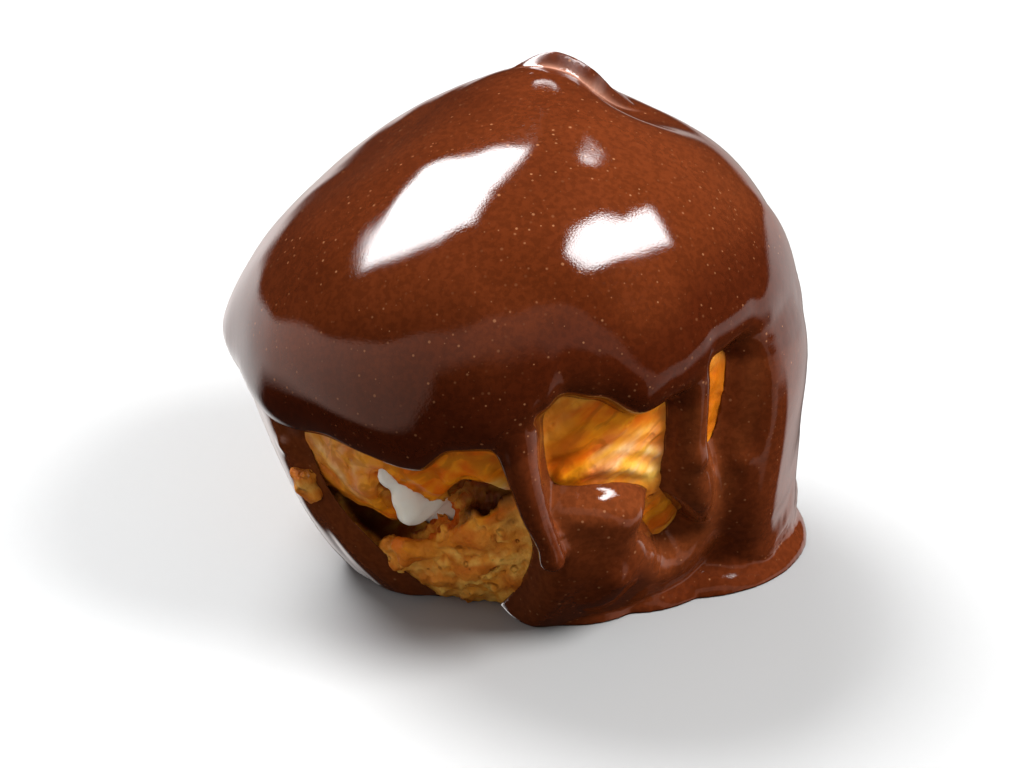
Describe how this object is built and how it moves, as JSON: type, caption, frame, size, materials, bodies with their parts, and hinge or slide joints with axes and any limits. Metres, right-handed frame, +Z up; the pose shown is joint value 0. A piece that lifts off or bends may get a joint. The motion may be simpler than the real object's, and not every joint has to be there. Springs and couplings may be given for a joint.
{
  "type": "cream puff",
  "caption": "Round choux bun, torn open low on its front to show cream inside, under a thick glossy coat of chocolate sauce with a rolled lip, drips and a drape.",
  "frame": {"origin": "middle of the bun's flat base, on the surface the puff stands on", "axes": "+Z up, -Y towards the front with the tear, +X towards the drape of sauce"},
  "size_m": [0.0636, 0.0621, 0.0512],
  "materials": {
    "choux": "baked golden crust, matt, with a moist yellow inside where it is torn",
    "cream": "whipped cream, soft sheen",
    "chocolate": "wet dark chocolate sauce, high gloss"
  },
  "bodies": {
    "root": {"choux_bun": "choux", "cream_filling": "cream", "chocolate_sauce": "chocolate"}
  },
  "joints": []
}
